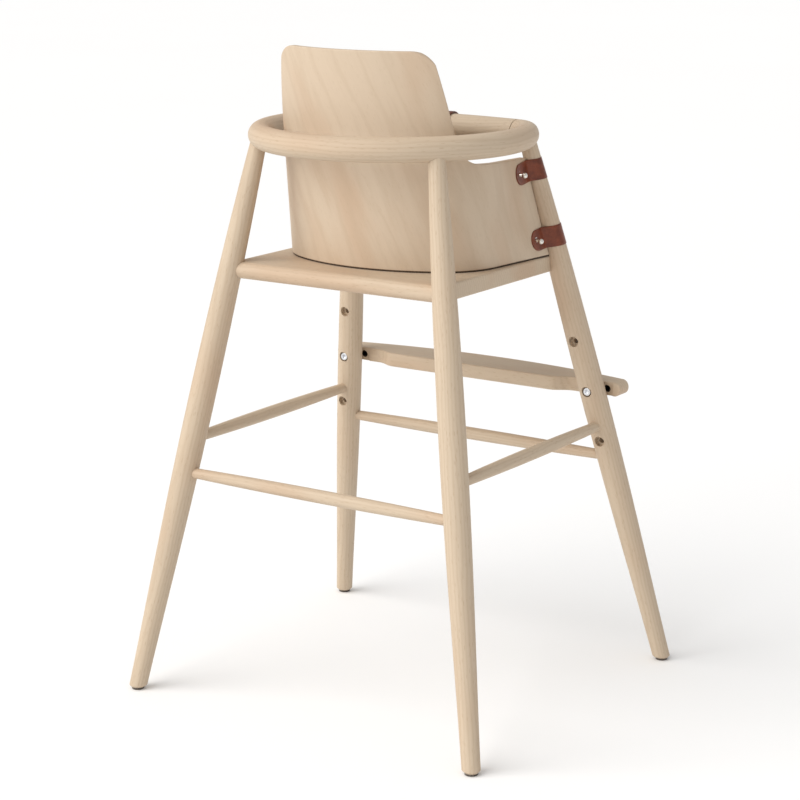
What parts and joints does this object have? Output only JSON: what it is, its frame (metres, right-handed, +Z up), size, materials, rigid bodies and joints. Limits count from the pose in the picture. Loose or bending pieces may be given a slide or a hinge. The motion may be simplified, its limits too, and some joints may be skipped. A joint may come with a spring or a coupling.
{
  "type": "baby high chair",
  "caption": "Wooden baby high chair with splayed round legs, bent arm ring, curved plywood back shell, lift-off front bar, leather straps and a footrest bolted to the front legs.",
  "frame": {"origin": "on the floor, midway between the four feet", "axes": "+Z up; the child faces -Y; +X is the child's left"},
  "size_m": [0.5194, 0.4752, 0.79],
  "materials": {
    "beech": "matt soaped beech",
    "beech_ring": "matt soaped bent beech",
    "beech_board": "matt soaped solid board",
    "shell_plywood": "matt beech veneer on moulded plywood",
    "leather": "glossy brown strap leather",
    "leather_dark": "glossy dark brown strap leather",
    "nickel": "bright nickel",
    "steel": "plain steel",
    "zinc": "bright zinc plate",
    "dark_steel": "blackened steel",
    "glide_plastic": "moulded dark nylon",
    "felt": "pressed dark felt"
  },
  "bodies": {
    "frame": {"arm_ring": "beech_ring", "ring_dowels": "beech", "seat_dowels": "beech", "leg_rear_left": "beech", "leg_rear_right": "beech", "leg_front_left": "beech", "leg_front_right": "beech", "stretcher_rear": "beech", "stretcher_front": "beech", "stretcher_left": "beech", "stretcher_right": "beech", "seat_board": "beech_board", "back_shell": "shell_plywood", "strap_upper_left": "leather", "strap_upper_right": "leather", "strap_lower_left": "leather", "strap_lower_right": "leather", "strap_studs": "nickel", "crotch_stud": "nickel", "stud_screws": "nickel", "bar_studs": "steel", "footrest_bolts": "zinc", "foot_glides": "glide_plastic", "shell_felt": "felt"},
    "front_bar": {"front_bar": "beech_ring", "crotch_strap": "leather_dark"},
    "footrest": {"footrest_board": "beech_board", "footrest_inserts": "dark_steel"},
    "strap_upper_tail_left": {"strap_upper_tail_left": "leather"},
    "strap_upper_tail_right": {"strap_upper_tail_right": "leather"},
    "strap_lower_tail_left": {"strap_lower_tail_left": "leather"},
    "strap_lower_tail_right": {"strap_lower_tail_right": "leather"}
  },
  "joints": [
    {"name": "front_bar_lift", "type": "slide", "parent": "frame", "child": "front_bar", "axis": [0, 0, 1], "range_m": [0, 0.022]},
    {"name": "footrest_pull", "type": "slide", "parent": "frame", "child": "footrest", "axis": [0, -1, 0], "range_m": [0, 0.025]},
    {"name": "strap_upper_left_fold", "type": "hinge", "parent": "frame", "child": "strap_upper_tail_left", "pos_m": [0.14012, -0.07768, 0.64015], "axis": [0.173, -0.1599, -0.9719], "range_deg": [0, 100]},
    {"name": "strap_upper_right_fold", "type": "hinge", "parent": "frame", "child": "strap_upper_tail_right", "pos_m": [-0.14012, -0.07768, 0.64015], "axis": [0.173, 0.1599, 0.9719], "range_deg": [0, 100]},
    {"name": "strap_lower_left_fold", "type": "hinge", "parent": "frame", "child": "strap_lower_tail_left", "pos_m": [0.15575, -0.09237, 0.55889], "axis": [0.1981, -0.1984, -0.9599], "range_deg": [0, 100]},
    {"name": "strap_lower_right_fold", "type": "hinge", "parent": "frame", "child": "strap_lower_tail_right", "pos_m": [-0.15575, -0.09237, 0.55889], "axis": [0.1981, 0.1984, 0.9599], "range_deg": [0, 100]}
  ]
}
